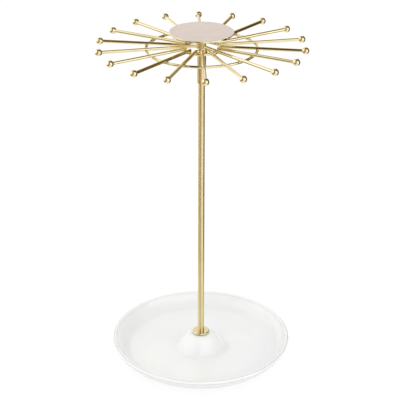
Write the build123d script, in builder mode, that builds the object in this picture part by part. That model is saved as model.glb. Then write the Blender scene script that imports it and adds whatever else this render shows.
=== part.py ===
from build123d import *
import os
from math import cos, radians, sin

# Rotating necklace holder: a glazed dish carries a pole, and a head of ball-tipped
# prongs on two wire rings turns on the pole. Millimetres, +Z up, and the origin is
# on the table under the centre of the pole.

# Feet and dish
pad_thickness = 1.2
pad_diameter = 5.6
pad_count = 4
foot_height = 3.0
foot_width = 6.0
foot_ring_radius = 50.0
foot_draft = 0.8
dish_radius = 84.4
dish_wall = 3.9
bowl_arc_radius = 20.5
bowl_arc_angle = 65.0

# Raised cone in the middle of the dish
cone_height = 14.9
cone_seat_radius = 8.6
cone_angle = 48.0
cone_shoulder_radius = 7.0
cone_foot_radius = 9.0
dish_hole_diameter = 5.5

# Screw that clamps the pole to the dish
bolt_diameter = 4.0
bolt_clearance = 0.4
bolt_engagement = 8.7
tap_run_out = 3.3
bolt_head_diameter = 8.0
bolt_head_height = 2.7
bolt_head_edge_radius = 1.0
bolt_slot_length = 4.4
bolt_slot_width = 0.9
bolt_slot_depth = 1.5
washer_diameter = 14.0
washer_thickness = 1.2
lower_gasket_thickness = 1.0
upper_gasket_thickness = 0.8
gasket_diameter = 13.6

# Collar at the foot of the pole
collar_diameter = 16.0
collar_thickness = 1.6
collar_edge_radius = 0.7
collar_floor = 0.5
collar_fit = 0.03

# Pole
pole_diameter = 6.0
pole_length = 285.2
pole_nose_radius = 2.0

# Rotating sleeve and its bushes
sleeve_diameter = 8.0
sleeve_wall = 0.5
sleeve_drop = 33.8
running_clearance = 0.05
nose_clearance = 0.1
lower_bush_length = 12.0
lower_bush_inset = 0.6
cap_bush_length = 14.0
cap_bush_floor = 2.0
bush_chamfer = 0.3

# Prongs and their balls
prong_count = 18
first_prong_angle = 12.0
prongs_per_arm = 6
first_arm = 4
prong_rise = 2.0
prong_diameter = 3.0
prong_end_radius = 15.5
prong_end_chamfer = 0.3
ball_diameter = 6.4
ball_circle_radius = 90.0
ball_hole_floor = 1.4

# Wire rings and the hub collar under the prongs
ring_wire_diameter = 2.5
outer_ring_radius = 48.4
inner_ring_radius = 17.1
weld_set_down = 0.4
hub_collar_diameter = 12.6
hub_collar_height = 5.3
hub_collar_rim = 0.9
hub_collar_neck_wall = 0.5
hub_collar_step = 0.5

# Top disc
disc_diameter = 56.4
disc_thickness = 1.5
disc_rise = 13.0
disc_edge_radius = 0.4
stud_length = 8.0
stud_tenon_diameter = 3.0
stud_tenon_height = 0.8

# Heights above the table that follow from the sizes above
foot_z = pad_thickness
dish_underside_z = foot_z + foot_height
floor_z = dish_underside_z + dish_wall
cone_top_z = floor_z + cone_height
cone_underside_z = cone_top_z - dish_wall
lower_gasket_z = cone_underside_z - lower_gasket_thickness
washer_z = lower_gasket_z - washer_thickness
collar_z = cone_top_z + upper_gasket_thickness
pole_seat_z = collar_z + collar_floor
pole_top_z = pole_seat_z + pole_length
cap_floor_z = pole_top_z + nose_clearance
cap_bush_top_z = cap_floor_z + cap_bush_floor
prong_z = pole_top_z + prong_rise
sleeve_bottom_z = prong_z - sleeve_drop
disc_top_z = prong_z + disc_rise
disc_underside_z = disc_top_z - disc_thickness
ring_z = prong_z - (prong_diameter + ring_wire_diameter) / 2 + weld_set_down
hub_collar_top_z = prong_z - prong_diameter / 2 + weld_set_down

# Radii that follow from the diameters above
pole_radius = pole_diameter / 2
sleeve_radius = sleeve_diameter / 2
sleeve_bore_radius = sleeve_radius - sleeve_wall
bush_bore_radius = pole_radius + running_clearance
prong_radius = prong_diameter / 2
bolt_hole_radius = (bolt_diameter + bolt_clearance) / 2

os.makedirs("parts", exist_ok=True)


def save(part, name):
    part.label = name
    export_step(part, f"parts/{name}.step")


def prong_angle(number):
    return first_prong_angle + (number - 1) * 360.0 / prong_count


def is_arm(number):
    return (number - first_arm) % prongs_per_arm == 0


def prong_start(number):
    return 0 if is_arm(number) else prong_end_radius


def radial_plane(angle, radius):
    """A plane in the prongs' height that faces straight out from the pole."""
    x = cos(radians(angle))
    y = sin(radians(angle))
    return Plane(origin=(radius * x, radius * y, prong_z), x_dir=(-y, x, 0), z_dir=(x, y, 0))


def dish_surface(offset):
    """Points and arcs of the dish's upper surface, or of a surface parallel to it."""
    slope = radians(cone_angle)
    lean = radians(bowl_arc_angle)
    shoulder = cone_shoulder_radius - offset
    cove = cone_foot_radius + offset
    bowl = bowl_arc_radius + offset
    seat = (cone_seat_radius, cone_top_z - offset)
    shoulder_middle = (
        cone_seat_radius + shoulder * sin(slope / 2),
        seat[1] - shoulder * (1 - cos(slope / 2)),
    )
    shoulder_end = (
        cone_seat_radius + shoulder * sin(slope),
        seat[1] - shoulder * (1 - cos(slope)),
    )
    turned_height = (cone_shoulder_radius + cone_foot_radius) * (1 - cos(slope))
    slope_run = (cone_height - turned_height) * cos(slope) / sin(slope)
    floor_start = (
        cone_seat_radius + (cone_shoulder_radius + cone_foot_radius) * sin(slope) + slope_run,
        floor_z - offset,
    )
    cove_middle = (
        floor_start[0] - cove * sin(slope / 2),
        floor_start[1] + cove * (1 - cos(slope / 2)),
    )
    cove_start = (
        floor_start[0] - cove * sin(slope),
        floor_start[1] + cove * (1 - cos(slope)),
    )
    middle_wall_radius = bowl_arc_radius + dish_wall / 2
    bowl_centre = dish_radius - dish_wall / 2 - middle_wall_radius * sin(lean)
    floor_end = (bowl_centre, floor_z - offset)
    bowl_middle = (
        bowl_centre + bowl * sin(lean / 2),
        floor_end[1] + bowl * (1 - cos(lean / 2)),
    )
    rim = (bowl_centre + bowl * sin(lean), floor_end[1] + bowl * (1 - cos(lean)))
    ThreePointArc(seat, shoulder_middle, shoulder_end)
    Line(shoulder_end, cove_start)
    ThreePointArc(cove_start, cove_middle, floor_start)
    Line(floor_start, floor_end)
    ThreePointArc(floor_end, bowl_middle, rim)
    return seat, rim


def make_dish():
    hole_radius = dish_hole_diameter / 2
    lean = radians(bowl_arc_angle)
    foot_in = foot_ring_radius - foot_width / 2
    foot_out = foot_ring_radius + foot_width / 2
    with BuildPart() as dish:
        with BuildSketch(Plane.XZ):
            with BuildLine():
                seat, inner_rim = dish_surface(0)
                seat_underside, outer_rim = dish_surface(dish_wall)
                lip_tip = (
                    (inner_rim[0] + outer_rim[0]) / 2 + dish_wall / 2 * cos(lean),
                    (inner_rim[1] + outer_rim[1]) / 2 + dish_wall / 2 * sin(lean),
                )
                ThreePointArc(inner_rim, lip_tip, outer_rim)
                Polyline(
                    seat,
                    (hole_radius, cone_top_z),
                    (hole_radius, cone_underside_z),
                    seat_underside,
                )
            make_face()
            with BuildLine():
                Polyline(
                    (foot_in, foot_z),
                    (foot_out, foot_z),
                    (foot_out + foot_draft, dish_underside_z + foot_draft),
                    (foot_in - foot_draft, dish_underside_z + foot_draft),
                    close=True,
                )
            make_face()
        revolve(axis=Axis.Z)
    save(dish.part, "dish")


def make_foot_pads():
    for number in range(1, pad_count + 1):
        angle = (number - 0.5) * 360 / pad_count
        centre = (foot_ring_radius * cos(radians(angle)), foot_ring_radius * sin(radians(angle)))
        with BuildPart() as foot_pad:
            with BuildSketch(Plane.XY):
                with Locations(centre):
                    Circle(pad_diameter / 2)
            extrude(amount=pad_thickness)
        save(foot_pad.part, f"foot_pad_{number}")


def make_tube(name, outer_radius, bore_radius, bottom, length):
    with BuildPart() as tube:
        with BuildSketch(Plane.XY.offset(bottom)):
            Circle(outer_radius)
            Circle(bore_radius, mode=Mode.SUBTRACT)
        extrude(amount=length)
    save(tube.part, name)


def make_base_bolt():
    with BuildPart() as base_bolt:
        with BuildSketch(Plane.XY.offset(washer_z)):
            Circle(bolt_head_diameter / 2)
        extrude(amount=-bolt_head_height)
        head_rim = base_bolt.edges().filter_by(GeomType.CIRCLE).sort_by(Axis.Z)[0]
        fillet(head_rim, radius=bolt_head_edge_radius)
        with BuildSketch(Plane.XY.offset(washer_z - bolt_head_height)):
            Rectangle(bolt_slot_length, bolt_slot_width)
            Rectangle(bolt_slot_width, bolt_slot_length)
        extrude(amount=bolt_slot_depth, mode=Mode.SUBTRACT)
        with BuildSketch(Plane.XY.offset(washer_z)):
            Circle(bolt_diameter / 2)
        extrude(amount=pole_seat_z + bolt_engagement - washer_z)
    save(base_bolt.part, "base_bolt")


def make_base_collar():
    with BuildPart() as base_collar:
        with BuildSketch(Plane.XY.offset(collar_z)):
            Circle(collar_diameter / 2)
        extrude(amount=collar_thickness)
        top_rim = base_collar.edges().filter_by(GeomType.CIRCLE).sort_by(Axis.Z)[-1]
        fillet(top_rim, radius=collar_edge_radius)
        with BuildSketch(Plane.XY.offset(pole_seat_z)):
            Circle(pole_radius + collar_fit)
        extrude(amount=collar_thickness, mode=Mode.SUBTRACT)
        with BuildSketch(Plane.XY.offset(collar_z)):
            Circle(bolt_hole_radius)
        extrude(amount=collar_floor, mode=Mode.SUBTRACT)
    save(base_collar.part, "base_collar")


def make_pole():
    with BuildPart() as pole:
        with BuildSketch(Plane.XY.offset(pole_seat_z)):
            Circle(pole_radius)
        extrude(amount=pole_length)
        nose_rim = pole.edges().filter_by(GeomType.CIRCLE).sort_by(Axis.Z)[-1]
        fillet(nose_rim, radius=pole_nose_radius)
        with BuildSketch(Plane.XY.offset(pole_seat_z)):
            Circle(bolt_diameter / 2)
        extrude(amount=bolt_engagement + tap_run_out, mode=Mode.SUBTRACT)
    save(pole.part, "pole")


def make_lower_bush():
    with BuildPart() as lower_bush:
        with BuildSketch(Plane.XY.offset(sleeve_bottom_z + lower_bush_inset)):
            Circle(sleeve_bore_radius)
            Circle(bush_bore_radius, mode=Mode.SUBTRACT)
        extrude(amount=lower_bush_length)
        bore_rims = lower_bush.edges().filter_by(GeomType.CIRCLE).sort_by(SortBy.RADIUS)[:2]
        chamfer(bore_rims, length=bush_chamfer)
    save(lower_bush.part, "lower_bush")


def make_cap_bush():
    with BuildPart() as cap_bush:
        with BuildSketch(Plane.XY.offset(cap_bush_top_z)):
            Circle(sleeve_bore_radius)
        extrude(amount=-cap_bush_length)
        with BuildSketch(Plane.XY.offset(cap_floor_z)):
            Circle(bush_bore_radius)
        extrude(amount=-cap_bush_length, mode=Mode.SUBTRACT)
        mouth = cap_bush.edges().filter_by(GeomType.CIRCLE).group_by(Axis.Z)[0]
        chamfer(mouth.sort_by(SortBy.RADIUS)[0], length=bush_chamfer)
    save(cap_bush.part, "cap_bush")


def make_hub_collar():
    rim_radius = hub_collar_diameter / 2
    neck_radius = sleeve_radius + hub_collar_neck_wall
    bottom = hub_collar_top_z - hub_collar_height
    neck_z = hub_collar_top_z - hub_collar_step
    with BuildPart() as hub_collar:
        with BuildSketch(Plane.XZ):
            with BuildLine():
                Polyline(
                    (neck_radius, neck_z),
                    (neck_radius, hub_collar_top_z),
                    (sleeve_radius, hub_collar_top_z),
                    (sleeve_radius, bottom),
                    (rim_radius, bottom),
                    (rim_radius, bottom + hub_collar_rim),
                )
                RadiusArc(
                    (rim_radius, bottom + hub_collar_rim),
                    (neck_radius, neck_z),
                    hub_collar_height,
                )
            make_face()
        revolve(axis=Axis.Z)
        for number in range(first_arm, prong_count + 1, prongs_per_arm):
            with BuildSketch(radial_plane(prong_angle(number), 0)):
                Circle(prong_radius)
            extrude(amount=rim_radius, mode=Mode.SUBTRACT)
    save(hub_collar.part, "hub_collar")


def make_wire_ring(name, ring_radius):
    with BuildPart() as wire_ring:
        with Locations((0, 0, ring_z)):
            Torus(ring_radius, ring_wire_diameter / 2)
        for number in range(1, prong_count + 1):
            start = prong_start(number)
            with BuildSketch(radial_plane(prong_angle(number), start)):
                Circle(prong_radius)
            extrude(amount=ball_circle_radius - start, mode=Mode.SUBTRACT)
    save(wire_ring.part, name)


def make_prong(number):
    start = prong_start(number)
    tip = ball_circle_radius + ball_diameter / 2 - ball_hole_floor
    with BuildPart() as prong:
        with BuildSketch(radial_plane(prong_angle(number), start)):
            Circle(prong_radius)
        extrude(amount=tip - start)
        if is_arm(number):
            with BuildSketch(Plane.XY.offset(sleeve_bottom_z)):
                Circle(sleeve_radius)
            extrude(amount=disc_underside_z - sleeve_bottom_z, mode=Mode.SUBTRACT)
        else:
            inner_end = prong.edges().filter_by(GeomType.CIRCLE).sort_by(
                lambda edge: edge.center().X ** 2 + edge.center().Y ** 2
            )[0]
            chamfer(inner_end, length=prong_end_chamfer)
    save(prong.part, f"prong_{number:02d}")


def make_prong_ball(number):
    plane = radial_plane(prong_angle(number), ball_circle_radius)
    hole_start = -ball_diameter / 2
    hole_depth = ball_diameter - ball_hole_floor
    with BuildPart() as prong_ball:
        with Locations(plane):
            Sphere(ball_diameter / 2)
        with BuildSketch(plane.offset(hole_start)):
            Circle(prong_radius)
        extrude(amount=hole_depth, mode=Mode.SUBTRACT)
    save(prong_ball.part, f"prong_ball_{number:02d}")


def make_top_disc():
    with BuildPart() as top_disc:
        with BuildSketch(Plane.XY.offset(disc_underside_z)):
            Circle(disc_diameter / 2)
        extrude(amount=disc_thickness)
        rims = top_disc.edges().filter_by(GeomType.CIRCLE)
        fillet(rims, radius=disc_edge_radius)
        with BuildSketch(Plane.XY.offset(disc_underside_z)):
            Circle(stud_tenon_diameter / 2)
        extrude(amount=stud_tenon_height, mode=Mode.SUBTRACT)
    save(top_disc.part, "top_disc")


def make_disc_stud():
    with BuildPart() as disc_stud:
        with BuildSketch(Plane.XY.offset(disc_underside_z)):
            Circle(sleeve_bore_radius)
        extrude(amount=-stud_length)
        with BuildSketch(Plane.XY.offset(disc_underside_z)):
            Circle(stud_tenon_diameter / 2)
        extrude(amount=stud_tenon_height)
    save(disc_stud.part, "disc_stud")


make_dish()
make_foot_pads()
make_base_bolt()
make_tube("base_washer", washer_diameter / 2, bolt_hole_radius, washer_z, washer_thickness)
make_tube(
    "lower_gasket", gasket_diameter / 2, bolt_hole_radius, lower_gasket_z, lower_gasket_thickness
)
make_tube(
    "upper_gasket", gasket_diameter / 2, bolt_hole_radius, cone_top_z, upper_gasket_thickness
)
make_base_collar()
make_pole()
make_tube(
    "sleeve", sleeve_radius, sleeve_bore_radius, sleeve_bottom_z, disc_underside_z - sleeve_bottom_z
)
make_lower_bush()
make_cap_bush()
make_hub_collar()
make_wire_ring("inner_ring", inner_ring_radius)
make_wire_ring("outer_ring", outer_ring_radius)
for prong_number in range(1, prong_count + 1):
    make_prong(prong_number)
    make_prong_ball(prong_number)
make_top_disc()
make_disc_stud()
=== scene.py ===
# %% [markdown]
# # A rotating necklace holder
# The object is a white glazed dish, a slim gold pole and a head of ball-tipped rods that turns on
# the pole. The construction is loaded first and stays as it is. This lesson gives each part the
# surface that a polisher, a welder or a potter leaves on it. All lengths are in metres.

import bpy
import numpy as np
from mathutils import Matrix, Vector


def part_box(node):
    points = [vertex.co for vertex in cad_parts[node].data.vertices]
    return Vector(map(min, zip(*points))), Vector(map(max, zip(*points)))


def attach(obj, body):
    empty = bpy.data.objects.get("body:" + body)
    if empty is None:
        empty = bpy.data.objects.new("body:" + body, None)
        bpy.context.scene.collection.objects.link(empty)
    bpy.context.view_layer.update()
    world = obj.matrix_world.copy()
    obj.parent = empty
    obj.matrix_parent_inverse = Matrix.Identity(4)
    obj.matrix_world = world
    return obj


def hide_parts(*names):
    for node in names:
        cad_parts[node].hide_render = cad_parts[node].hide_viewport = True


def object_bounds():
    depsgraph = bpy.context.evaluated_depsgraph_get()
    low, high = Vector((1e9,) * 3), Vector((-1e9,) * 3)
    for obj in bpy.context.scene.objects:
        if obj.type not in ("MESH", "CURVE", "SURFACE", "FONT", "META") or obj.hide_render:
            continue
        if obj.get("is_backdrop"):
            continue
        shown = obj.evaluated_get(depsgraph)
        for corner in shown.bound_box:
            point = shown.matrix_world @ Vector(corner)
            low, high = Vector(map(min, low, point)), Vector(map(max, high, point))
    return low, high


MM = 0.001
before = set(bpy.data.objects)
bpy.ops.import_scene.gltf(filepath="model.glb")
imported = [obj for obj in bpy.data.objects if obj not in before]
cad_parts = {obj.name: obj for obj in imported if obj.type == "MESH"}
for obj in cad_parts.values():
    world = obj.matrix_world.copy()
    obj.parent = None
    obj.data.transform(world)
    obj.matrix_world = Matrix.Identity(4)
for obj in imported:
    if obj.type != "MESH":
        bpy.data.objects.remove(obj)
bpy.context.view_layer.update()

# %% [markdown]
# ## The camera
# The photograph was taken with a long lens from a little above. The 18 balls lie on one circle, so
# they say where the camera stood: its distance, height and tilt make that circle the flat ellipse
# that the picture shows. The pole leans in the picture by a fraction of a degree, which the
# camera's roll repeats, and a small shift puts the pole where it stands in the frame. Blender
# counts a lens and its sensor in millimetres.

# %% The camera
IMAGE_SIDE = 400
SENSOR_WIDTH = 36
FOCAL_PIXELS = 1292.2
CAMERA_PLACE = (0.0, -1.0683, 0.6726)
CAMERA_PITCH = 64.52
CAMERA_ROLL = 0.16
CENTRE_PIXEL = 201.2

camera = bpy.data.objects.new("camera", bpy.data.cameras.new("camera"))
bpy.context.scene.collection.objects.link(camera)
bpy.context.scene.camera = camera
camera.location = CAMERA_PLACE
camera.rotation_mode = "YXZ"
camera.rotation_euler = np.radians([CAMERA_PITCH, 0, 0])
camera.rotation_euler.rotate_axis("Z", np.radians(CAMERA_ROLL))
camera.data.sensor_width = SENSOR_WIDTH
camera.data.lens = FOCAL_PIXELS * SENSOR_WIDTH / IMAGE_SIDE
camera.data.shift_x = (IMAGE_SIDE / 2 - CENTRE_PIXEL) / IMAGE_SIDE
print("lens", round(camera.data.lens, 1), "mm")

# %% [markdown]
# ## Turned shapes
# Nearly everything here is round: a pole, a collar, a disc, a dish, a ball on the end of a rod.
# Each is a section carried round an axis. A section is a few corners, and each corner has its own
# radius, as a turner would cut it. Blender's Spin and Bevel tools could do the same in two steps.
# One function that works out the arcs and another that turns them give cleaner rows of faces,
# which a polished surface needs, because a mirror shows every uneven face.

# %% Corners with radii
ARC_STEP = np.radians(7.5)
FEWEST_ARC_STEPS = 3
SUPPORT = 0.12 * MM
SUPPORT_ROOM = 3 * SUPPORT


def rounded(corners, radii, closed=True):
    """Replaces each corner by an arc of its radius that touches both sides. For a corner that turns
    by an angle t, the arc starts radius * tan(t / 2) before it, and its middle lies on the line
    that halves the angle. Long straight sides get a point near each end, which keeps them flat."""
    corners = np.asarray(corners, float)
    points = []
    count = len(corners)
    for number, radius in enumerate(radii):
        here = corners[number]
        before = corners[number - 1] - here
        after = corners[(number + 1) % count] - here
        is_end = not closed and number in (0, count - 1)
        if radius == 0 or is_end:
            points.append(here)
            continue
        before_length, after_length = np.hypot(*before), np.hypot(*after)
        before, after = before / before_length, after / after_length
        turn = np.pi - np.arccos(np.clip(before @ after, -1, 1))
        reach = radius * np.tan(turn / 2)
        halving = (before + after) / np.hypot(*(before + after))
        middle = here + halving * radius / np.cos(turn / 2)
        start = here + before * reach
        side = start - middle
        sense = np.sign(before[1] * after[0] - before[0] * after[1])
        steps = max(FEWEST_ARC_STEPS, int(np.ceil(turn / ARC_STEP)))
        angles = sense * np.linspace(0, turn, steps + 1)
        arc = np.stack(
            [
                middle[0] + side[0] * np.cos(angles) - side[1] * np.sin(angles),
                middle[1] + side[0] * np.sin(angles) + side[1] * np.cos(angles),
            ],
            axis=1,
        )
        if before_length > reach + SUPPORT_ROOM:
            points.append(start + before * SUPPORT)
        points.extend(arc)
        if after_length > reach + SUPPORT_ROOM:
            points.append(here + after * (reach + SUPPORT))
    return np.array(points)


# %% Turning a section round an axis
def grid_quads(rows, columns, rows_close):
    """Four-sided faces between neighbouring points of a grid whose columns close on themselves."""
    row, column = np.meshgrid(
        np.arange(rows if rows_close else rows - 1), np.arange(columns), indexing="ij"
    )
    next_row, next_column = (row + 1) % rows, (column + 1) % columns
    corners = [
        row * columns + column,
        row * columns + next_column,
        next_row * columns + next_column,
        next_row * columns + column,
    ]
    return np.stack(corners, axis=-1).reshape(-1, 4)


def turned(section, sides, origin=(0, 0, 0), axes=np.eye(3)):
    """Points origin + r cos(a) * axes[0] + r sin(a) * axes[1] + h * axes[2] for every (r, h) of
    the section and every angle a. A section that begins and ends on the axis is closed there by
    one point at each end. Any other section is closed by joining its end to its start."""
    section = np.asarray(section, float)
    on_axis = section[0, 0] == 0 and section[-1, 0] == 0
    rows = section[1:-1] if on_axis else section
    angles = np.linspace(0, 2 * np.pi, sides, endpoint=False)
    local = np.stack(
        [
            rows[:, :1] * np.cos(angles),
            rows[:, :1] * np.sin(angles),
            np.repeat(rows[:, 1:], sides, axis=1),
        ],
        axis=-1,
    ).reshape(-1, 3)
    faces = [grid_quads(len(rows), sides, not on_axis)]
    if on_axis:
        first, last = len(local), len(local) + 1
        ends = [[0, 0, section[0, 1]], [0, 0, section[-1, 1]]]
        local = np.concatenate([local, ends])
        around = np.arange(sides)
        beside = (around + 1) % sides
        top_row = (len(rows) - 1) * sides
        faces.append(np.stack([np.full(sides, first), beside, around], axis=1))
        faces.append(np.stack([np.full(sides, last), top_row + around, top_row + beside], axis=1))
    return np.asarray(origin, float) + local @ np.asarray(axes, float), faces


# %% [markdown]
# ## From points to a piece
# A finished piece is a mesh at the origin that rides on the base or on the head, stands for the
# part of the construction that it dresses, and says which finish it has. Faces have to point
# outwards. The volume that the faces enclose tells: it comes out negative when they point inwards,
# and the faces are then turned round.

# %% Making a piece
def enclosed_volume(points, faces):
    """Sums a . (b x c) / 6 over the triangles of every face."""
    triangles = [f[:, [0, i, i + 1]] for f in faces for i in range(1, f.shape[1] - 1)]
    a, b, c = np.moveaxis(points[np.concatenate(triangles)], 1, 0)
    return np.einsum("ij,ij->", a, np.cross(b, c)) / 6


def make_piece(name, shape, body, node, finish):
    """Makes a smooth mesh from (points, faces), with its material, and sets it in place of a
    node."""
    points, faces = shape
    volume = enclosed_volume(points, faces)
    if volume < 0:
        faces = [f[:, ::-1] for f in faces]
    mesh = bpy.data.meshes.new(name)
    mesh.from_pydata(points.tolist(), [], [face for f in faces for face in f.tolist()])
    mesh.shade_smooth()
    mesh.validate()
    piece = bpy.data.objects.new(name, mesh)
    bpy.context.scene.collection.objects.link(piece)
    mesh.materials.append(finish["material"])
    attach(piece, body)
    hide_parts(node)
    print(f"{name}: {len(mesh.polygons)} faces, {abs(volume) / MM**3:.0f} cubic mm")


def measure(node):
    """Outer radius, lowest and highest height of a round upright node."""
    low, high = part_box(node)
    return (high.x - low.x) / 2, low.z, high.z


# %% [markdown]
# ## Writing materials as sums
# A material is a little program that runs at each point of a surface. Blender draws it as boxes
# and wires. Here a wire is a Python value, so that wire_a * 0.5 + wire_b adds the two Math boxes
# by itself, and the pattern reads like the formula that it is.

# %% Wires
class Wire:
    """The output of a node. Sums, differences and products with it add Math nodes."""

    def __init__(self, graph, socket):
        self.graph = graph
        self.socket = socket

    def maths(self, operation, *values):
        """A Math node of that operation on wires and numbers."""
        return self.graph.add("ShaderNodeMath", {"operation": operation}, dict(enumerate(values)))

    def __add__(self, other):
        return self.maths("ADD", self, other)

    def __radd__(self, other):
        return self.maths("ADD", other, self)

    def __sub__(self, other):
        return self.maths("SUBTRACT", self, other)

    def __rsub__(self, other):
        return self.maths("SUBTRACT", other, self)

    def __mul__(self, other):
        return self.maths("MULTIPLY", self, other)

    def __rmul__(self, other):
        return self.maths("MULTIPLY", other, self)

    def step(self, start, end):
        """0 before start, 1 after end and a smooth rise between."""
        limits = {"Value": self, "From Min": start, "From Max": end}
        return self.graph.add("ShaderNodeMapRange", {"interpolation_type": "SMOOTHSTEP"}, limits)


# %% Graphs
# Sockets of a Mix node that is set to colours
MIX_SHARE, MIX_FIRST, MIX_SECOND, MIX_RESULT = 0, 6, 7, 2


class Graph:
    """The nodes of one material or of the world."""

    def __init__(self, owner):
        owner.use_nodes = True
        self.tree = owner.node_tree
        self.tree.nodes.clear()

    def add(self, kind, settings=None, values=None, output=0):
        """Adds a node, sets its settings, then its sockets, and gives the wire from one output."""
        node = self.tree.nodes.new(kind)
        for key, value in (settings or {}).items():
            setattr(node, key, value)
        for key, value in (values or {}).items():
            if isinstance(value, Wire):
                self.tree.links.new(value.socket, node.inputs[key])
            else:
                node.inputs[key].default_value = value
        return Wire(self, node.outputs[output])

    def place(self):
        """The point on the object, in metres."""
        return self.add("ShaderNodeTexCoord", output="Object")

    def split(self, vector):
        """The wires of a vector's x, y and z."""
        node = self.add("ShaderNodeSeparateXYZ", None, {0: vector}).socket.node
        return [Wire(self, node.outputs[axis]) for axis in "XYZ"]

    def length(self, vector):
        """The square root of x squared + y squared + z squared."""
        operation = {"operation": "LENGTH"}
        return self.add("ShaderNodeVectorMath", operation, {0: vector}, output="Value")

    def noise(self, vector, size, detail=2.0, roughness=0.5):
        """Cloudy values around 0.5, whose clouds are about size across."""
        values = {"Vector": vector, "Scale": 1 / size, "Detail": detail, "Roughness": roughness}
        return self.add("ShaderNodeTexNoise", None, values)

    def stretch(self, vector, scale):
        """The point with x, y and z multiplied by the three numbers of scale."""
        return self.add("ShaderNodeMapping", None, {"Vector": vector, "Scale": scale})

    def mix(self, share, first, second):
        """The colour first * (1 - share) + second * share."""
        colours = {MIX_SHARE: share, MIX_FIRST: first, MIX_SECOND: second}
        return self.add("ShaderNodeMix", {"data_type": "RGBA"}, colours, output=MIX_RESULT)

    def ray(self, *kinds):
        """1 for a ray of one of these kinds, such as Camera or Glossy, and 0 for any other."""
        found = [self.add("ShaderNodeLightPath", output=f"Is {kind} Ray") for kind in kinds]
        return sum(found[1:], found[0]).step(0, 1)

    def bump(self, height, distance):
        """A normal that makes the surface look raised by height times distance, in metres."""
        return self.add("ShaderNodeBump", None, {"Height": height, "Distance": distance})

    def surface(self, **values):
        """The Principled surface as the material's output. Its sockets are named in lower case."""
        titles = {key: key.replace("_", " ").title().replace("Ior", "IOR") for key in values}
        named = {titles[key]: value for key, value in values.items()}
        self.show("ShaderNodeOutputMaterial", self.add("ShaderNodeBsdfPrincipled", None, named))

    def show(self, kind, shader):
        """Ends the graph: an output node of that kind takes the shader."""
        self.tree.links.new(shader.socket, self.tree.nodes.new(kind).inputs["Surface"])


# %% Finishes
def finish_of(name, slot, draw):
    """A new material that draw fills in, with the finish's slot in the record."""
    material = bpy.data.materials.new(name)
    draw(Graph(material))
    print(f"{name}: {len(material.node_tree.nodes)} nodes")
    return {"material": material, "slot": slot}


# %% [markdown]
# ## Polished gold plate
# The metal is steel with a thin pale gold plate, buffed until it reflects the room. Real plate is
# never one even mirror: its tone drifts a little from place to place, handling leaves duller
# clouds, and buffing leaves soft waves with hair lines on them that are finer than a millimetre.
# Those are noise at four sizes, in the colour, the roughness and the bump.

# %% Polished gold plate
GOLD = (0.84, 0.745, 0.50, 1)
GOLD_DEEP = (0.80, 0.69, 0.41, 1)
DRIFT_SIZE = 30 * MM
DRIFT_SPAN = (0.35, 0.7)
CLOUD_SIZE = 9 * MM
CLOUD_SPAN = (0.4, 0.75)
WAVE_SIZE = 5 * MM
WAVE_HEIGHT = 0.03 * MM
HAIR_SIZE = 0.5 * MM
HAIR_SHARE = 0.06
BUFFED_ROUGHNESS = 0.04
BUFFED_CLOUDS = 0.04


def plate_tone(graph, place, gold, gold_deep):
    """A colour that drifts from one gold to the other and back over a few centimetres."""
    return graph.mix(graph.noise(place, DRIFT_SIZE).step(*DRIFT_SPAN), gold, gold_deep)


def handling(graph, place):
    """Soft clouds, 0 where the metal is clean and 1 where hands have dulled it."""
    return graph.noise(place, CLOUD_SIZE, detail=4).step(*CLOUD_SPAN)


def draw_gold(graph):
    """Roughness is a base and a share of the clouds. Height is waves and a share of the hair."""
    place = graph.place()
    waves = graph.noise(place, WAVE_SIZE, detail=1)
    hair = graph.noise(place, HAIR_SIZE, detail=3)
    graph.surface(
        base_color=plate_tone(graph, place, GOLD, GOLD_DEEP),
        metallic=1.0,
        roughness=handling(graph, place) * BUFFED_CLOUDS + BUFFED_ROUGHNESS,
        normal=graph.bump(hair * HAIR_SHARE + waves, WAVE_HEIGHT),
    )


polished_gold = finish_of("polished gold plate", "gold_plate", draw_gold)

# %% [markdown]
# ## Gold on drawn tube
# The pole and the sleeve are held against a polishing belt while they turn, which leaves fine
# lines round them. The lines smear every reflection along the tube, so its bright and dark stripes
# run straight from top to bottom. Anisotropy does that: the surface is rougher along the tube than
# round it. Its direction is turned by a quarter, because Blender's own goes round the upright
# axis. The sleeve's gold is a little warmer and deeper than the pole's, and the sleeve is better
# polished. So one function draws both, and is told the gold and how rough it is.

# %% Gold on drawn tube
TUBE_GOLD = (0.83, 0.70, 0.405, 1)
TUBE_GOLD_DEEP = (0.78, 0.645, 0.33, 1)
SLEEVE_GOLD = (0.83, 0.665, 0.37, 1)
SLEEVE_GOLD_DEEP = (0.78, 0.605, 0.30, 1)
POLE_ROUGHNESS = 0.3
SLEEVE_ROUGHNESS = 0.18
TUBE_CLOUDS = 0.05
SMEAR = 0.9
ALONG_THE_TUBE = 0.25
LINE_SIZE = 2 * MM
LINE_THINNING = 14
LINE_HEIGHT = 0.0008 * MM


def tube_finish(name, gold, gold_deep, roughness):
    """Lines are clouds squeezed along the tube. Roughness is a base and a share of the clouds."""

    def draw(graph):
        place = graph.place()
        lines = graph.noise(graph.stretch(place, (1, 1, LINE_THINNING)), LINE_SIZE, detail=3)
        graph.surface(
            base_color=plate_tone(graph, place, gold, gold_deep),
            metallic=1.0,
            roughness=handling(graph, place) * TUBE_CLOUDS + roughness,
            anisotropic=SMEAR,
            anisotropic_rotation=ALONG_THE_TUBE,
            normal=graph.bump(lines, LINE_HEIGHT),
        )

    return finish_of(name, "gold_plate", draw)


tube_gold = tube_finish("gold on drawn tube", TUBE_GOLD, TUBE_GOLD_DEEP, POLE_ROUGHNESS)
sleeve_gold = tube_finish("warm gold", SLEEVE_GOLD, SLEEVE_GOLD_DEEP, SLEEVE_ROUGHNESS)

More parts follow.
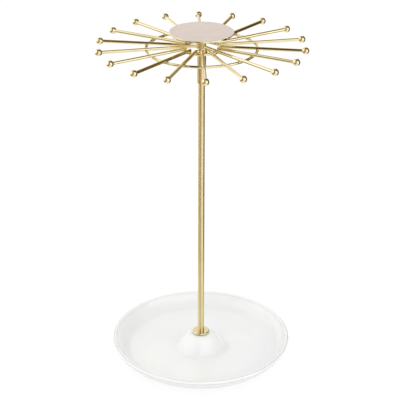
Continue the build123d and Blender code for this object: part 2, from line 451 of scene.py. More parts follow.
# %% [markdown]
# ## The dish's glaze
# The dish is pressed stoneware, dipped in white glaze. Glaze is glass: a clear coat over a white
# body, never quite level, a little bluer in the patches where it lies thicker. The potter wipes it
# off the ring that the dish stands on, so the ring shows bare, chalky clay. The edge of the wiped
# band wanders, so the height that divides the two has some noise added to it.

# %% Glaze and bare clay
GLAZE = (0.885, 0.885, 0.875, 1)
GLAZE_POOL = (0.845, 0.862, 0.865, 1)
POOL_SIZE = 40 * MM
POOL_SPAN = (0.3, 0.75)
RIPPLE_SIZE = 7 * MM
GLAZE_ROUGHNESS = 0.25
COAT = 0.5
COAT_ROUGHNESS = 0.14
CLAY = (0.74, 0.68, 0.60, 1)
CLAY_PALE = (0.82, 0.77, 0.70, 1)
CLAY_GRAIN = 0.35 * MM
CLAY_ROUGHNESS = 0.85
DISH_RELIEF = 0.05 * MM
WIPED_HEIGHT = 2.6 * MM
WIPED_EDGE = 0.25 * MM
WANDER_SIZE = 12 * MM
WANDER_HEIGHT = 0.9 * MM


def draw_glaze(graph):
    """A mask that is 0 on the wiped clay and 1 on the glaze chooses between the two in the
    colour, the roughness, the coat and the relief."""
    place = graph.place()
    grain = graph.noise(place, CLAY_GRAIN, detail=3)
    pool = graph.noise(place, POOL_SIZE).step(*POOL_SPAN)
    ripple = graph.noise(place, RIPPLE_SIZE, detail=1)
    height = graph.split(place)[2] + graph.noise(place, WANDER_SIZE) * WANDER_HEIGHT
    glazed = height.step(WIPED_HEIGHT, WIPED_HEIGHT + WIPED_EDGE)
    clay, white = graph.mix(grain, CLAY, CLAY_PALE), graph.mix(pool, GLAZE, GLAZE_POOL)
    graph.surface(
        base_color=graph.mix(glazed, clay, white),
        roughness=CLAY_ROUGHNESS - glazed * (CLAY_ROUGHNESS - GLAZE_ROUGHNESS),
        coat_weight=glazed * COAT,
        coat_roughness=COAT_ROUGHNESS,
        normal=graph.bump(ripple * glazed + (1 - glazed) * grain, DISH_RELIEF),
    )


glazed_dish = finish_of("white glaze", "glazed_dish", draw_glaze)

# %% [markdown]
# ## The dish
# One closed section holds the whole dish: up the hole in the cone, over the cone, along the floor,
# up the bowl, round the lip and back underneath, with the ring that it stands on. A second surface
# made by Solidify would thicken everything evenly. The drawn section can have its foot ring too,
# and the soft corners that glaze gives it.

# %% The dish's section
dish_radius, dish_bottom, cone_top = measure("dish")
WALL = 3.9 * MM
FOOT_TOP = dish_bottom + 3.0 * MM
FOOT_RING_RADIUS = 50 * MM
FOOT_WIDTH = 6 * MM
FOOT_DRAFT = 0.8 * MM
FLOOR = FOOT_TOP + WALL
CONE_SLOPE = np.radians(48)
CONE_SEAT_RADIUS = 8.6 * MM
CONE_SHOULDER = 7 * MM
CONE_FOOT = 9 * MM
BOWL_ARC = 20.5 * MM
BOWL_LEAN = np.radians(65)
HOLE_RADIUS = 2.75 * MM
GLAZE_SOFTENS = 0.5 * MM


def cone_and_bowl(inset):
    """Corners and radii of the dish's upper surface, or of a surface that lies inset under it: the
    cone's shoulder, the cone's foot and the corner where the floor turns up into the bowl."""
    shoulder, foot, bowl = CONE_SHOULDER - inset, CONE_FOOT + inset, BOWL_ARC + inset
    shoulder_corner = CONE_SEAT_RADIUS + shoulder * np.tan(CONE_SLOPE / 2)
    foot_corner = shoulder_corner + (cone_top - FLOOR) / np.tan(CONE_SLOPE)
    wall_middle = BOWL_ARC + WALL / 2
    bowl_centre = dish_radius - WALL / 2 - wall_middle * np.sin(BOWL_LEAN)
    bowl_corner = bowl_centre + bowl * np.tan(BOWL_LEAN / 2)
    corners = [
        (shoulder_corner, cone_top - inset),
        (foot_corner, FLOOR - inset),
        (bowl_corner, FLOOR - inset),
    ]
    return corners, [shoulder, foot, bowl]


def dish_section():
    """The upper surface's corners from the hole out to the lip, then the lower surface's corners
    back to the hole, with the foot ring's four between them. The lip is a half circle."""
    top, top_radii = cone_and_bowl(0)
    under, under_radii = cone_and_bowl(WALL)
    up_the_wall = np.array([np.cos(BOWL_LEAN), np.sin(BOWL_LEAN)])
    across = np.array([np.sin(BOWL_LEAN), -np.cos(BOWL_LEAN)])
    inner_lip = top[-1] + up_the_wall * (BOWL_ARC * np.tan(BOWL_LEAN / 2) + WALL / 2)
    foot_in = FOOT_RING_RADIUS - FOOT_WIDTH / 2
    foot_out = FOOT_RING_RADIUS + FOOT_WIDTH / 2
    foot = [
        (foot_out + FOOT_DRAFT, FOOT_TOP),
        (foot_out, dish_bottom),
        (foot_in, dish_bottom),
        (foot_in - FOOT_DRAFT, FOOT_TOP),
    ]
    corners = [
        (HOLE_RADIUS, cone_top - WALL),
        (HOLE_RADIUS, cone_top),
        *top,
        inner_lip,
        inner_lip + across * WALL,
        under[2],
        *foot,
        under[1],
        under[0],
    ]
    radii = [GLAZE_SOFTENS, GLAZE_SOFTENS, *top_radii, WALL / 2, WALL / 2, under_radii[2]]
    radii += [2 * GLAZE_SOFTENS, GLAZE_SOFTENS, GLAZE_SOFTENS, 2 * GLAZE_SOFTENS]
    radii += [under_radii[1], under_radii[0]]
    return rounded(corners, radii)


# %% The dish
DISH_SIDES = 288
LIP_WAVES = ((2, 0.09 * MM, 0.7), (3, 0.07 * MM, 2.1))
STAYS_TRUE = 0.75


def hand_finished(points, radius):
    """The lip of a fired dish is never quite level: it rises and falls by a sixth of a millimetre
    over the two and three waves that drying leaves. Each wave is its height times the sine of its
    count times the angle, plus where it starts. The middle stays true, and from there to the lip
    the share of the waves grows as a square."""
    angle = np.arctan2(points[:, 1], points[:, 0])
    out = np.hypot(points[:, 0], points[:, 1]) / radius
    share = np.clip((out - STAYS_TRUE) / (1 - STAYS_TRUE), 0, 1) ** 2
    rise = sum(height * np.sin(count * angle + start) for count, height, start in LIP_WAVES)
    moved = points.copy()
    moved[:, 2] += rise * share
    return moved


dish_points, dish_faces = turned(dish_section(), DISH_SIDES)
dish_shape = (hand_finished(dish_points, dish_radius), dish_faces)
make_piece("glazed_dish", dish_shape, "base", "dish", glazed_dish)

# %% [markdown]
# ## The pole, the collar and the sleeve
# A cut bar has a small round on each end, and so has a turned collar. The radius is what a
# polished edge shows as its bright line, so no edge that can be seen is left at zero.

# %% The pole
ROUND_SIDES = 96
BROKEN_EDGE = 0.1 * MM
EDGE = 0.25 * MM
POLE_NOSE = 2.0 * MM
TAPPED_HOLE_RADIUS = 2.0 * MM
TAPPED_HOLE_DEPTH = 12.0 * MM


def drilled(radius, bottom, top, hole_radius, hole_depth):
    """The corners of a solid bar or plate with a blind hole up the middle of its underside."""
    return [
        (0, bottom + hole_depth),
        (hole_radius, bottom + hole_depth),
        (hole_radius, bottom),
        (radius, bottom),
        (radius, top),
        (0, top),
    ]


pole_radius, pole_bottom, pole_top = measure("pole")
pole_corners = drilled(pole_radius, pole_bottom, pole_top, TAPPED_HOLE_RADIUS, TAPPED_HOLE_DEPTH)
pole_section = rounded(pole_corners, [0, EDGE, EDGE, EDGE, POLE_NOSE, 0], closed=False)
make_piece("polished_pole", turned(pole_section, ROUND_SIDES), "base", "pole", tube_gold)

# %% The collar
COLLAR_EDGE = 0.7 * MM
COLLAR_SEAT = 0.5 * MM
SCREW_CLEARANCE = 0.2 * MM
FIT = 0.03 * MM

collar_radius, collar_bottom, collar_top = measure("base_collar")
screw_hole = TAPPED_HOLE_RADIUS + SCREW_CLEARANCE
collar_corners = [
    (screw_hole, collar_bottom),
    (collar_radius, collar_bottom),
    (collar_radius, collar_top),
    (pole_radius + FIT, collar_top),
    (pole_radius + FIT, collar_bottom + COLLAR_SEAT),
    (screw_hole, collar_bottom + COLLAR_SEAT),
]
collar_radii = [BROKEN_EDGE, EDGE, COLLAR_EDGE, BROKEN_EDGE, BROKEN_EDGE, BROKEN_EDGE]
collar_shape = turned(rounded(collar_corners, collar_radii), ROUND_SIDES)
make_piece("turned_collar", collar_shape, "base", "base_collar", polished_gold)

# %% The sleeve
SLEEVE_WALL = 0.5 * MM
BORE_EDGE = 0.15 * MM

sleeve_radius, sleeve_bottom, sleeve_top = measure("sleeve")
sleeve_bore = sleeve_radius - SLEEVE_WALL
sleeve_corners = [
    (sleeve_bore, sleeve_bottom),
    (sleeve_radius, sleeve_bottom),
    (sleeve_radius, sleeve_top),
    (sleeve_bore, sleeve_top),
]
sleeve_section = rounded(sleeve_corners, [BORE_EDGE, EDGE, BORE_EDGE, BROKEN_EDGE])
make_piece("polished_sleeve", turned(sleeve_section, ROUND_SIDES), "head", "sleeve", sleeve_gold)

# %% [markdown]
# ## Where the rods lie
# Every rod points straight out from the pole, and its ball says where. A rod that starts at the
# sleeve is one of the arms that carry the head. The others start just inside the small ring.

# %% Where the rods lie
ROD_COUNT = sum(name.startswith("prong_ball_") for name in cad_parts)
ROD_NUMBERS = range(1, ROD_COUNT + 1)


def ball_centre(number):
    """The middle of the box round a ball."""
    low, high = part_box(f"prong_ball_{number:02d}")
    return np.array((low + high) / 2)


def nearest_to_axis(node):
    """The least distance of a node's points from the pole's axis."""
    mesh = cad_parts[node].data
    points = np.zeros(len(mesh.vertices) * 3)
    mesh.vertices.foreach_get("co", points)
    return np.hypot(*points.reshape(-1, 3)[:, :2].T).min()


rod_outward = {}
rod_start = {}
for number in ROD_NUMBERS:
    centre = ball_centre(number)
    circle_radius = np.hypot(centre[0], centre[1])
    rod_outward[number] = np.array([centre[0], centre[1], 0]) / circle_radius
    rod_start[number] = nearest_to_axis(f"prong_{number:02d}")
rod_height = ball_centre(1)[2]
rod_low, rod_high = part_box("prong_01")
rod_radius = (rod_high.z - rod_low.z) / 2
ball_low, ball_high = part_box("prong_ball_01")
ball_radius = (ball_high.z - ball_low.z) / 2
arms = [n for n in ROD_NUMBERS if rod_start[n] < sleeve_radius + SLEEVE_WALL]
print("balls lie", round(circle_radius / MM, 1), "mm from the pole, and the arms are rods", arms)


def rod_axes(number):
    """Sideways, up and outward, as the axes of a shape that is turned about a rod."""
    outward = rod_outward[number]
    return np.array([np.cross(outward, (0, 0, 1)), (0, 0, 1), outward])


# %% [markdown]
# ## Rods
# A rod is straight drawn wire. A short one has its end rounded on a belt. An arm is brazed to the
# sleeve: its end is cut to the sleeve's curve, and the braze runs out into a small cove, which is
# a quarter circle. The sleeve's curve is the distance from the axis to its surface at each
# sideways offset w, the square root of radius squared less w squared.

# %% Rods
ROD_SIDES = 32
ROD_END_ROUND = 0.5 * MM
BRAZE = 0.8 * MM
BRAZE_STEPS = 6
SADDLE_RUN = 3 * MM
HOLE_FLOOR = 1.4 * MM
rod_tip = circle_radius + ball_radius - HOLE_FLOOR


def short_rod_section(start):
    """A bar from its start to its tip, with its start rounded more than its hidden tip."""
    corners = [(0, start), (rod_radius, start), (rod_radius, rod_tip), (0, rod_tip)]
    return rounded(corners, [0, ROD_END_ROUND, BROKEN_EDGE, 0], closed=False)


def arm_section():
    """The cove is rod radius + braze - sqrt(braze squared - (braze - distance) squared)."""
    distance = np.linspace(0, BRAZE, BRAZE_STEPS + 1)
    cove = rod_radius + BRAZE - np.sqrt(BRAZE**2 - (BRAZE - distance) ** 2)
    root = np.stack([cove, sleeve_radius + distance], axis=1)
    bar = rounded(
        [(rod_radius, sleeve_radius + SADDLE_RUN), (rod_radius, rod_tip), (0, rod_tip)],
        [0, BROKEN_EDGE, 0],
        closed=False,
    )
    return np.concatenate([[(0, sleeve_radius)], root, bar])


def cut_to_sleeve(points, number):
    """Draws the arm's end back to the sleeve's curve, by less and less along the first few
    millimetres."""
    outward = rod_outward[number]
    along = points @ outward
    sideways = points @ np.cross(outward, (0, 0, 1))
    depth = sleeve_radius - np.sqrt(np.maximum(sleeve_radius**2 - sideways**2, 0))
    share = np.clip(1 - (along - sleeve_radius) / SADDLE_RUN, 0, 1)
    return points - np.outer(depth * share, outward)


for number in ROD_NUMBERS:
    on_axis = (0, 0, rod_height)
    if number in arms:
        points, faces = turned(arm_section(), ROD_SIDES, on_axis, rod_axes(number))
        shape = (cut_to_sleeve(points, number), faces)
    else:
        section = short_rod_section(rod_start[number])
        shape = turned(section, ROD_SIDES, on_axis, rod_axes(number))
    make_piece(f"rod_{number:02d}", shape, "head", f"prong_{number:02d}", polished_gold)

# %% [markdown]
# ## Balls
# Each ball is drilled, pushed on its rod and brazed. Its section starts on the floor of the hole,
# runs out along the rod, turns through the small hollow of braze where ball and rod meet, and goes
# round the sphere to the tip. The hollow's circle touches both: its centre is one braze radius
# outside the rod and one outside the sphere.

# %% Balls
BALL_SIDES = 48
BALL_STEPS = 30
BALL_BRAZE = 0.4 * MM
HOLLOW_POINTS = 6


def ball_section():
    """The sphere is (radius * sin(a), radius * cos(a)), from where it leaves the hollow to a = 0 at
    the tip, and the hollow is the same with the braze's radius, round the hollow's centre."""
    reach = rod_radius + BALL_BRAZE
    behind = -np.sqrt((ball_radius + BALL_BRAZE) ** 2 - reach**2)
    towards_ball = np.arctan2(-behind, -reach)
    hollow = np.linspace(np.pi, towards_ball, HOLLOW_POINTS)
    mouth = np.stack(
        [reach + BALL_BRAZE * np.cos(hollow), behind + BALL_BRAZE * np.sin(hollow)], axis=1
    )
    start = np.arctan2(mouth[-1, 0], mouth[-1, 1])
    around = np.linspace(start, 0, BALL_STEPS)[1:]
    sphere = np.stack([ball_radius * np.sin(around), ball_radius * np.cos(around)], axis=1)
    sphere[-1, 0] = 0
    hole_floor = ball_radius - HOLE_FLOOR
    hole = [(0, hole_floor), (rod_radius, hole_floor)]
    return np.concatenate([hole, mouth, sphere])


for number in ROD_NUMBERS:
    shape = turned(ball_section(), BALL_SIDES, ball_centre(number), rod_axes(number))
    make_piece(f"ball_{number:02d}", shape, "head", f"prong_ball_{number:02d}", polished_gold)

# %% [markdown]
# ## Wire rings
# A ring is a bent wire under the rods, and each rod is brazed to it. The wire is a grid of angle
# round the ring by angle round the wire. Two rules shape the joints. The braze swells the wire by
# a bell curve of its gap to the rod. Then any point that lies inside a rod is pushed out to the
# rod's surface, which seats the ring on the rod with no gap and no overlap.

# %% Wire rings
WIRE_RADIUS = 1.25 * MM
RING_STEP = 0.35 * MM
WIRE_SIDES = 24
SWELL = 0.45 * MM
SWELL_REACH = 0.6 * MM
LEAST_SHARE = 0.01


def rod_offset(points, number):
    """Each point's offset from a rod's axis, square to the rod, and its distance along the rod."""
    relative = points - (0, 0, rod_height)
    along = relative @ rod_outward[number]
    return relative - np.outer(along, rod_outward[number]), along


def seated(points, numbers):
    """Points pushed out of the rods that they lie in: each is moved by its offset times (the rod's
    radius / its distance - 1). A least distance keeps that from growing without end."""
    for number in numbers:
        offset, along = rod_offset(points, number)
        distance = np.linalg.norm(offset, axis=1)
        inside = (distance < rod_radius) & (along > 0)
        divisor = np.maximum(distance, rod_radius * LEAST_SHARE)
        push = offset * (rod_radius / divisor - 1)[:, None]
        points = points + np.where(inside[:, None], push, 0)
    return points


def wire_ring(ring_radius, height):
    """A point of the ring's middle line, plus the wire's radius and the braze's swell times the
    direction outward * cos(about) + up * sin(about). The swell is its height times e to the power
    of -(gap / reach) squared."""
    steps = int(2 * np.pi * ring_radius / RING_STEP)
    around = np.linspace(0, 2 * np.pi, steps, endpoint=False)
    about = np.linspace(0, 2 * np.pi, WIRE_SIDES, endpoint=False)
    around, about = (a.ravel() for a in np.meshgrid(around, about, indexing="ij"))
    outward = np.stack([np.cos(around), np.sin(around), np.zeros_like(around)], axis=1)
    side = outward * np.cos(about)[:, None] + np.outer(np.sin(about), (0, 0, 1))
    middle = outward * ring_radius + (0, 0, height)
    points = middle + side * WIRE_RADIUS
    swell = np.zeros(len(points))
    for number in ROD_NUMBERS:
        offset, along = rod_offset(points, number)
        gap = np.maximum(np.linalg.norm(offset, axis=1) - rod_radius, 0)
        bell = np.exp(-((gap / SWELL_REACH) ** 2)) * SWELL
        swell = np.maximum(swell, np.where(along > 0, bell, 0))
    points = seated(points + side * swell[:, None], ROD_NUMBERS)
    return points, [grid_quads(steps, WIRE_SIDES, True)]


for name, node in (("small_wire_ring", "inner_ring"), ("large_wire_ring", "outer_ring")):
    outer, bottom, _ = measure(node)
    shape = wire_ring(outer - WIRE_RADIUS, bottom + WIRE_RADIUS)
    make_piece(name, shape, "head", node, polished_gold)

# %% [markdown]
# ## The hub collar
# Under the arms a flared collar is brazed to the sleeve. Its outside is a hollow curve from a wide
# rim to a thin neck, and it is seated under the arms by the same rule as the rings.

# %% The hub collar
WIDE_SIDES = 192
HUB_RIM = 0.9 * MM
HUB_RIM_ROUND = 0.3 * MM
NECK_WALL = 0.5 * MM
FLARE_POINTS = 14
hub_radius, hub_bottom, hub_top = measure("hub_collar")


def hub_section():
    """The flare is an arc of the collar's height as its radius, hollow outwards."""
    neck = np.array([sleeve_radius + NECK_WALL, hub_top])
    rim = np.array([hub_radius, hub_bottom + HUB_RIM])
    chord = neck - rim
    half = np.hypot(*chord) / 2
    arc_radius = hub_top - hub_bottom
    square = np.array([chord[1], -chord[0]]) / (2 * half)
    centre = (neck + rim) / 2 + square * np.sqrt(arc_radius**2 - half**2)
    ends = [np.arctan2(end[1] - centre[1], end[0] - centre[0]) for end in (rim, neck)]
    angles = np.linspace(*np.unwrap(ends), FLARE_POINTS)
    flare = centre + arc_radius * np.stack([np.cos(angles), np.sin(angles)], axis=1)
    foot = rounded(
        [(sleeve_radius, hub_bottom), (hub_radius, hub_bottom), tuple(rim)],
        [0, HUB_RIM_ROUND, 0],
        closed=False,
    )
    return np.concatenate([foot[:-1], flare, [(sleeve_radius, hub_top)]])


hub_points, hub_faces = turned(hub_section(), WIDE_SIDES)
hub_shape = (seated(hub_points, arms), hub_faces)
make_piece("flared_hub", hub_shape, "head", "hub_collar", polished_gold)

# %% [markdown]
# ## The top disc
# The disc is sheet metal. Its upper face is sprayed with a satin champagne lacquer, and its edge
# and underside are polished like the rest. One material does both: a mask that is 1 on the flat of
# the upper face chooses between the two. Lacquer with metal powder in it is part paint and part
# metal, so the face is mostly not metallic, and it keeps its tone from every side. Sprayed
# droplets leave fine orange peel, which is noise in the bump, and the powder settles in soft
# clouds.

# %% The top disc's finish
CHAMPAGNE = (0.70, 0.60, 0.54, 1)
CHAMPAGNE_CLOUD = (0.67, 0.575, 0.52, 1)
POWDER_SIZE = 12 * MM
POWDER_SPAN = (0.35, 0.7)
POWDER_SHARE = 0.15
PEEL_SIZE = 0.8 * MM
PEEL_HEIGHT = 0.006 * MM
LACQUER_ROUGHNESS = 0.28
LACQUER_CLOUDS = 0.08
LACQUER_SHINE = 0.35
EDGE_ROUGHNESS = 0.12
LACQUER_BELOW = 0.1 * MM
LACQUER_FADE = 0.05 * MM
disc_radius, disc_bottom, disc_top = measure("top_disc")


def draw_disc(graph):
    """The mask rises from 0 to 1 just below the height of the upper face."""
    place = graph.place()
    lacquer_start = disc_top - LACQUER_BELOW
    on_face = graph.split(place)[2].step(lacquer_start, lacquer_start + LACQUER_FADE)
    peel = graph.noise(place, PEEL_SIZE, detail=2)
    clouds = graph.noise(place, POWDER_SIZE, detail=3)
    lacquer = graph.mix(clouds.step(*POWDER_SPAN), CHAMPAGNE, CHAMPAGNE_CLOUD)
    graph.surface(
        base_color=graph.mix(on_face, plate_tone(graph, place, GOLD, GOLD_DEEP), lacquer),
        metallic=1 - on_face * (1 - POWDER_SHARE),
        roughness=on_face * (LACQUER_ROUGHNESS + clouds * LACQUER_CLOUDS) + EDGE_ROUGHNESS,
        specular_ior_level=LACQUER_SHINE,
        normal=graph.bump(peel * on_face, PEEL_HEIGHT),
    )


disc_finish = finish_of("satin champagne lacquer", "gold_plate", draw_disc)

# %% The top disc
DISC_EDGE = 0.4 * MM
TENON_HOLE_RADIUS = 1.5 * MM
TENON_HOLE_DEPTH = 0.8 * MM

disc_corners = drilled(disc_radius, disc_bottom, disc_top, TENON_HOLE_RADIUS, TENON_HOLE_DEPTH)
disc_radii = [0, BROKEN_EDGE, BROKEN_EDGE, DISC_EDGE, DISC_EDGE, 0]
disc_section = rounded(disc_corners, disc_radii, closed=False)
make_piece("lacquered_disc", turned(disc_section, WIDE_SIDES), "head", "top_disc", disc_finish)

# %% [markdown]
# ## What holds the dish, and what it stands on
# Soft clear bumpers are stuck under the foot ring, so that the clay doesn't scratch a table. They
# are clear but not glassy. The screw, its washer, the rubber gaskets and the nylon bushes keep the
# shapes of the construction and get their own materials.

# %% Bumpers under the foot ring
PAD_COUNT = 4
PAD_SIDES = 48
PAD_ROUND = 0.45 * MM
CLEAR = (0.86, 0.87, 0.86, 1)
CLEAR_PALE = (0.93, 0.94, 0.93, 1)
HAZE_SIZE = 1.5 * MM
HAZE_ROUGHNESS = 0.1
PAD_ROUGHNESS = 0.2
PAD_LETS_THROUGH = 0.7
PAD_INDEX = 1.45


def draw_clear_pad(graph):
    """Haze in the plastic is noise, in the colour and in the roughness."""
    haze = graph.noise(graph.place(), HAZE_SIZE, detail=3)
    graph.surface(
        base_color=graph.mix(haze, CLEAR, CLEAR_PALE),
        roughness=haze * HAZE_ROUGHNESS + PAD_ROUGHNESS,
        transmission_weight=PAD_LETS_THROUGH,
        ior=PAD_INDEX,
    )


clear_pad = finish_of("clear bumper", "clear_rubber", draw_clear_pad)
for number in range(1, PAD_COUNT + 1):
    node = f"foot_pad_{number}"
    low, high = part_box(node)
    pad_radius = (high.x - low.x) / 2
    pad_corners = [(0, low.z), (pad_radius, low.z), (pad_radius, high.z), (0, high.z)]
    pad_section = rounded(pad_corners, [0, PAD_ROUND, BROKEN_EDGE, 0], closed=False)
    pad_place = ((low.x + high.x) / 2, (low.y + high.y) / 2, 0)
    pad_shape = turned(pad_section, PAD_SIDES, pad_place)
    make_piece(f"bumper_{number}", pad_shape, "base", node, clear_pad)

# %% Rubber
RUBBER = (0.018, 0.018, 0.019, 1)
RUBBER_WORN = (0.035, 0.035, 0.036, 1)
RUBBER_GRAIN = 0.4 * MM
RUBBER_RELIEF = 0.03 * MM
RUBBER_ROUGHNESS = 0.6
RUBBER_GRAIN_ROUGHNESS = 0.15


def draw_rubber(graph):
    """One grain gives the tone, the roughness and the relief."""
    grain = graph.noise(graph.place(), RUBBER_GRAIN, detail=4)
    graph.surface(
        base_color=graph.mix(grain, RUBBER, RUBBER_WORN),
        roughness=grain * RUBBER_GRAIN_ROUGHNESS + RUBBER_ROUGHNESS,
        normal=graph.bump(grain, RUBBER_RELIEF),
    )


black_rubber = finish_of("black rubber", "black_rubber", draw_rubber)

# %% Nylon
NYLON = (0.74, 0.73, 0.68, 1)
NYLON_PALE = (0.80, 0.79, 0.75, 1)
NYLON_GRAIN = 0.8 * MM
NYLON_RELIEF = 0.01 * MM
NYLON_ROUGHNESS = 0.4
NYLON_GRAIN_ROUGHNESS = 0.1
MILKY_SHARE = 0.15
MILKY_DEPTH = 1 * MM


def draw_nylon(graph):
    """As the rubber, but a share of the light goes a millimetre in before it comes out."""
    grain = graph.noise(graph.place(), NYLON_GRAIN, detail=3)
    graph.surface(
        base_color=graph.mix(grain, NYLON, NYLON_PALE),
        roughness=grain * NYLON_GRAIN_ROUGHNESS + NYLON_ROUGHNESS,
        subsurface_weight=MILKY_SHARE,
        subsurface_scale=MILKY_DEPTH,
        normal=graph.bump(grain, NYLON_RELIEF),
    )


nylon = finish_of("natural nylon", "nylon", draw_nylon)

# %% Zinc plate
ZINC = (0.52, 0.53, 0.55, 1)
ZINC_PALE = (0.68, 0.69, 0.70, 1)
SPANGLE_SIZE = 2.2 * MM
SPANGLE_CRISPNESS = 0.7
SPANGLE_ROUGHNESS = 0.15
ZINC_ROUGHNESS = 0.28
ZINC_GRAIN = 0.3 * MM
ZINC_RELIEF = 0.01 * MM


def draw_zinc(graph):
    """The flat crystals of zinc plate give the tone and the roughness, and a finer grain the
    relief."""
    place = graph.place()
    spangle = graph.noise(place, SPANGLE_SIZE, detail=4, roughness=SPANGLE_CRISPNESS)
    graph.surface(
        base_color=graph.mix(spangle, ZINC, ZINC_PALE),
        metallic=1.0,
        roughness=spangle * SPANGLE_ROUGHNESS + ZINC_ROUGHNESS,
        normal=graph.bump(graph.noise(place, ZINC_GRAIN, detail=3), ZINC_RELIEF),
    )


zinc = finish_of("zinc plate", "zinc_steel", draw_zinc)

# %% Finishes on the pieces that keep their built shapes
KEPT_FINISHES = {
    "lower_gasket": black_rubber,
    "upper_gasket": black_rubber,
    "lower_bush": nylon,
    "cap_bush": nylon,
    "base_bolt": zinc,
    "base_washer": zinc,
    "disc_stud": polished_gold,
}
for node, finish in KEPT_FINISHES.items():
    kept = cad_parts[node]
    kept.data.materials.clear()
    kept.data.materials.append(finish["material"])
print("kept as built:", ", ".join(KEPT_FINISHES))

# %% [markdown]
# ## The floor
# The photograph has a seamless white table. For the camera and for mirrors the floor gives off
# most of that white itself and lets its lit share carry the shadow. For all other light it is
# plain white card, so that the dish is lit from below as it would be on a real table. A mirror
# sees only the table near the dish, which is why the glaze shows white under its wall. Further out
# it looks past the table to the studio, whose darker places give the pole its stripes.

# %% The floor
FLOOR_SIDE = 8.0
FLOOR_WHITE = 0.82
SHADOW_SHARE = 0.1
SEEN_WHITE = 1.02
MIRRORED_RADIUS = 150 * MM
MIRRORED_EDGE = 30 * MM


def grey(level):
    """The colour with all three parts at one level."""
    return (level, level, level, 1)


def draw_floor(graph):
    """Card for plain light, glow and shadow for what the camera and mirrors see, and nothing for
    mirrors further than the mirrored radius from the pole."""
    seen = graph.ray("Camera", "Glossy", "Transmission")
    card = graph.add("ShaderNodeBsdfDiffuse", None, {"Color": grey(FLOOR_WHITE)})
    shadowed = graph.add("ShaderNodeBsdfDiffuse", None, {"Color": grey(SHADOW_SHARE)})
    glow = graph.add("ShaderNodeEmission", None, {"Strength": SEEN_WHITE - SHADOW_SHARE})
    both = graph.add("ShaderNodeAddShader", None, {0: shadowed, 1: glow})
    white = graph.add("ShaderNodeMixShader", None, {0: seen, 1: card, 2: both})
    far = graph.length(graph.place()).step(MIRRORED_RADIUS, MIRRORED_RADIUS + MIRRORED_EDGE)
    clear = graph.add("ShaderNodeBsdfTransparent")
    unseen = far * graph.ray("Glossy")
    table = graph.add("ShaderNodeMixShader", None, {0: unseen, 1: white, 2: clear})
    graph.show("ShaderNodeOutputMaterial", table)


bpy.ops.mesh.primitive_plane_add(size=FLOOR_SIDE)
floor = bpy.context.object
floor.name = "white_table"
floor.data.materials.append(finish_of("white table", None, draw_floor)["material"])
floor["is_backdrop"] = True

# %% [markdown]
# ## The studio
# Polished metal has no look of its own: it shows the room. The room is white paper with dark gaps
# between its sheets and a few brighter panels. The world gives each kind of ray what it needs:
# plain white to the camera, an even soft white to the dish, and the room with its gaps and panels
# to whatever is glossy. A gap or a panel is a window of smooth steps in the direction's angle
# round the pole, counted from the front to the right, and in its height.

# %% The studio
LEVEL_HORIZON = 1.23
LEVEL_ZENITH = 0.84
ZENITH_RISE = (15, 75)
ROOM_WHITE = 1.04
ROOM = (
    # in degrees: middle round the pole, half width, lowest, highest, soft edge; then brightness
    (0, 200, -100, -54, 12, (0.92, 0.92, 0.90, 1)),
    (35, 75, -100, -60, 14, (1.28, 1.28, 1.26, 1)),
    (136, 32, -50, 14, 14, (0.25, 0.18, 0.055, 1)),
    (128, 36, 14, 60, 14, (0.23, 0.16, 0.045, 1)),
    (180, 70, 58, 100, 16, (0.20, 0.145, 0.06, 1)),
    (0, 200, 62, 100, 16, (0.20, 0.145, 0.065, 1)),
    (98, 16, 20, 62, 10, (0.10, 0.064, 0.016, 1)),
    (84, 22, 44, 66, 10, (0.10, 0.066, 0.024, 1)),
    (92, 17, -34, 20, 10, (0.055, 0.034, 0.008, 1)),
    (105, 45, -50, -28, 8, (0.17, 0.115, 0.04, 1)),
    (-38, 21, -4, 60, 12, (0.62, 0.51, 0.29, 1)),
    (-14, 11, -14, 58, 8, (0.09, 0.06, 0.018, 1)),
    (-22, 12, 46, 74, 10, (0.06, 0.04, 0.013, 1)),
    (-13, 10, -30, -14, 8, (0.34, 0.245, 0.10, 1)),
    (-44, 15, -48, -4, 10, (0.32, 0.235, 0.10, 1)),
    (-118, 44, -14, 20, 12, (1.45, 1.45, 1.43, 1)),
    (-92, 34, -48, -18, 8, (0.32, 0.24, 0.11, 1)),
    (-95, 38, 16, 58, 14, (1.25, 1.25, 1.23, 1)),
    (-84, 14, 2, 32, 10, (1.70, 1.70, 1.68, 1)),
    (-143, 16, 18, 50, 12, (0.85, 0.76, 0.58, 1)),
    (-170, 20, 2, 58, 10, (0.95, 0.93, 0.88, 1)),
    (24, 24, 0, 30, 8, (1.16, 1.16, 1.15, 1)),
    (60, 14, -18, 32, 10, (1.70, 1.70, 1.68, 1)),
    (58, 20, 34, 46, 8, (0.76, 0.66, 0.46, 1)),
    (22, 11, 30, 55, 10, (1.42, 1.42, 1.41, 1)),
)


def window(value, low, high, edge):
    """1 from low to high and 0 outside, with smooth steps that are edge wide at both ends."""
    opens = value.step(low - edge / 2, low + edge / 2)
    closes = value.step(high - edge / 2, high + edge / 2)
    return opens * (1 - closes)


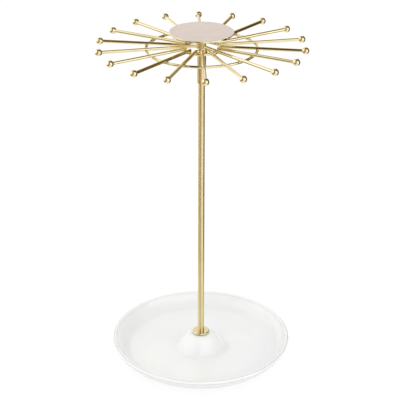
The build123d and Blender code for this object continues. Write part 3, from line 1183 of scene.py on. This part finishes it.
def draw_world(graph):
    """The angle round the pole is the arctangent of x over -y, and the height is the arcsine of z.
    Each window of the room then paints over the ones before it."""
    direction = graph.add("ShaderNodeTexCoord", output="Generated")
    x, y, z = graph.split(direction)
    to_degrees = 180 / np.pi
    turn = x.maths("ARCTAN2", x, 0 - y) * to_degrees
    height = z.maths("ARCSINE", z) * to_degrees
    room = grey(ROOM_WHITE)
    for middle, half, low, high, edge, colour in ROOM:
        from_middle = turn.maths("WRAP", turn - middle, -180, 180)
        inside = window(from_middle, -half, half, edge) * window(height, low, high, edge)
        room = graph.mix(inside, room, colour)
    even = graph.mix(height.step(*ZENITH_RISE), grey(LEVEL_HORIZON), grey(LEVEL_ZENITH))
    soft = graph.mix(graph.ray("Glossy"), even, room)
    colour = graph.mix(graph.ray("Camera", "Transmission"), soft, grey(1))
    shader = graph.add("ShaderNodeBackground", None, {"Color": colour})
    graph.show("ShaderNodeOutputWorld", shader)


world = bpy.data.worlds.new("studio")
draw_world(Graph(world))
bpy.context.scene.world = world
bpy.context.scene.view_settings.view_transform = "Standard"
print("the studio has", len(ROOM), "windows and", len(world.node_tree.nodes), "nodes")

# %% [markdown]
# ## Lamps
# The studio's even white has no direction. Two large weak softboxes in front of the holder, one on
# each side, give the dish its shading and the table its shadow. Glossy surfaces don't show them,
# because the studio's windows already stand for what those reflect.

# %% Lamps
LAMPS = (
    # name, place, side, watts
    ("left_softbox", (-1.1, -1.1, 0.85), 1.2, 1.8),
    ("right_softbox", (1.3, -1.0, 0.8), 1.2, 2.6),
)
for name, place, side, watts in LAMPS:
    lamp = bpy.data.objects.new(name, bpy.data.lights.new(name, "AREA"))
    bpy.context.scene.collection.objects.link(lamp)
    lamp.data.size = side
    lamp.data.energy = watts
    lamp.location = place
    lamp.rotation_mode = "QUATERNION"
    lamp.rotation_quaternion = (-lamp.location).to_track_quat("-Z", "Y")
    lamp.visible_glossy = False
    print(name, round(lamp.location.length, 2), "m from the foot of the pole")

# %% [markdown]
# ## The size
# The dressed model is meant to stay as large as the construction, and its box is printed
# in millimetres.

# %% Sizes of the dressed model
low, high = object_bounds()
print("dressed", [round(side / MM, 1) for side in high - low], "mm")
